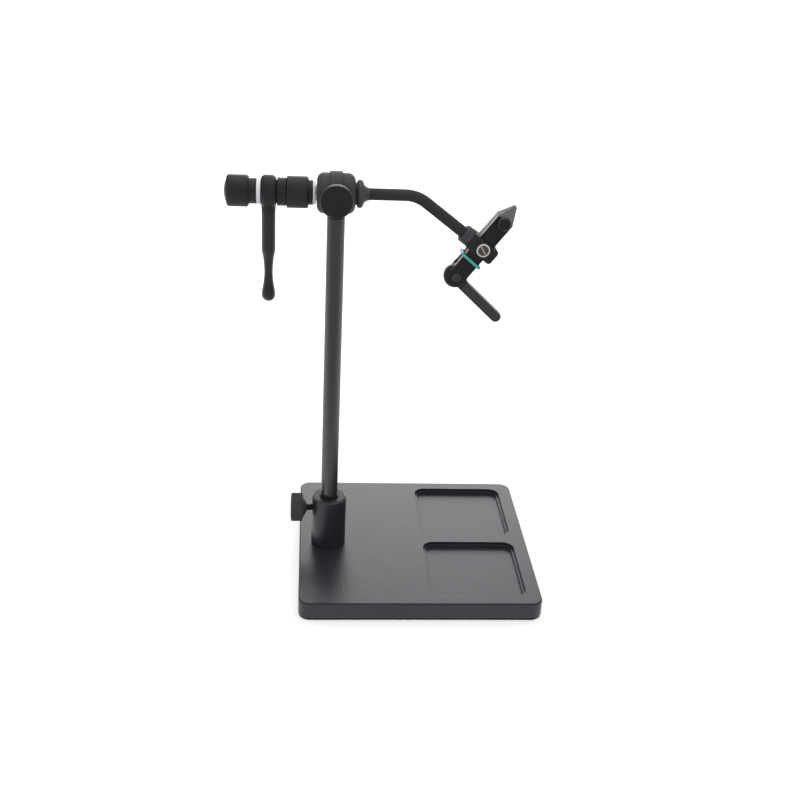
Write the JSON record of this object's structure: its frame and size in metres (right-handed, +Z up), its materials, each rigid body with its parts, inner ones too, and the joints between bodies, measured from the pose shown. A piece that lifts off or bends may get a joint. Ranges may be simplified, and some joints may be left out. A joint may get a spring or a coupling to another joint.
{
  "type": "fly tying vise",
  "caption": "Rotary fly tying vise with cam lever jaws on a bent arm, a drag knob and crank behind a tilting head, and a round stem in a pedestal base with recessed trays.",
  "frame": {"origin": "middle of the underside of the foam pad under the base plate", "axes": "+X runs towards the jaws, +Y away from the tyer's side with the lock knob and the adjusting knob, +Z up"},
  "size_m": [0.1784, 0.138, 0.2307],
  "materials": {
    "powder_coat": "satin black powder coat",
    "foam": "closed cell foam",
    "black_steel": "satin black oxide",
    "jaw_steel": "black oxide with ground edges",
    "black_screw": "black oxide",
    "bright_steel": "turned and polished",
    "white_nylon": "smooth nylon",
    "black_nylon": "smooth nylon",
    "teal_rubber": "moulded rubber"
  },
  "bodies": {
    "base": {"base_pad": "foam", "base_plate": "powder_coat", "stem_holder": "powder_coat", "holder_screw": "black_screw"},
    "stem_lock": {"stem_lock_knob": "black_steel", "stem_lock_screw": "black_screw"},
    "sleeve": {"stem_sleeve": "black_nylon"},
    "stem": {"stem": "black_steel"},
    "head": {"housing": "black_steel", "rear_bushing": "bright_steel", "front_bushing": "bright_steel"},
    "tilt_lock": {"tilt_lock_knob": "black_steel", "tilt_lock_stud": "black_screw"},
    "rotor": {"rotary_arm": "black_steel", "arm_collar": "black_steel", "front_thrust_washer": "black_nylon", "stop_collar": "black_steel", "collar_set_screw": "black_screw", "jaw_block": "black_steel", "block_set_screw": "black_screw", "jaw_screw": "bright_steel", "jaw_screw_ring": "bright_steel", "rear_jaw": "jaw_steel", "jaw_band": "teal_rubber"},
    "drag": {"drag_knob": "black_steel", "nylon_thrust_washer": "white_nylon", "steel_thrust_washer": "bright_steel"},
    "crank": {"crank_hub": "black_steel", "crank_lever": "black_steel"},
    "end": {"end_knob": "black_steel", "crank_washer": "white_nylon"},
    "front_jaw": {"front_jaw": "jaw_steel", "cam_pin": "jaw_steel"},
    "cam": {"cam_lever": "black_steel"},
    "adjuster": {"jaw_adjust_knob": "black_steel"}
  },
  "joints": [
    {"name": "stem_swivel", "type": "hinge", "parent": "base", "child": "sleeve", "pos_m": [-0.051, -0.0026, 0.0415], "axis": [0, 0, 1], "continuous": true},
    {"name": "stem_slide", "type": "slide", "parent": "sleeve", "child": "stem", "axis": [0, 0, 1], "range_m": [0, 0.01]},
    {"name": "stem_lock_turn", "type": "hinge", "parent": "base", "child": "stem_lock", "pos_m": [-0.061, -0.0026, 0.0335], "axis": [-1, 0, 0], "range_deg": [0, 270]},
    {"name": "head_tilt", "type": "hinge", "parent": "stem", "child": "head", "pos_m": [-0.051, -0.0026, 0.2189], "axis": [0, 1, 0], "range_deg": [-45, 45]},
    {"name": "tilt_lock_turn", "type": "hinge", "parent": "head", "child": "tilt_lock", "pos_m": [-0.051, -0.0026, 0.2189], "axis": [0, -1, 0], "range_deg": [0, 270]},
    {"name": "rotary", "type": "hinge", "parent": "head", "child": "rotor", "pos_m": [-0.051, 0.0099, 0.2189], "axis": [1, 0, 0], "continuous": true},
    {"name": "drag_turn", "type": "hinge", "parent": "rotor", "child": "drag", "pos_m": [-0.051, 0.0099, 0.2189], "axis": [-1, 0, 0], "range_deg": [0, 270]},
    {"name": "crank_set", "type": "hinge", "parent": "rotor", "child": "crank", "pos_m": [-0.051, 0.0099, 0.2189], "axis": [1, 0, 0], "continuous": true},
    {"name": "end_knob_turn", "type": "hinge", "parent": "rotor", "child": "end", "pos_m": [-0.051, 0.0099, 0.2189], "axis": [-1, 0, 0], "range_deg": [0, 270]},
    {"name": "jaw_open", "type": "hinge", "parent": "rotor", "child": "front_jaw", "pos_m": [0.03993, 0.0078, 0.20607], "axis": [0.7986, 0, -0.6018], "range_deg": [0, 1.4]},
    {"name": "cam_turn", "type": "hinge", "parent": "front_jaw", "child": "cam", "pos_m": [0.0161, 0.0099, 0.17445], "axis": [0, 1, 0], "range_deg": [0, 80]},
    {"name": "adjuster_turn", "type": "hinge", "parent": "rotor", "child": "adjuster", "pos_m": [0.03993, 0.0099, 0.20607], "axis": [0, -1, 0], "range_deg": [0, 270]}
  ],
  "couplings": [
    {"joint": "jaw_open", "follows": "cam_turn", "ratio": 0.0175}
  ]
}
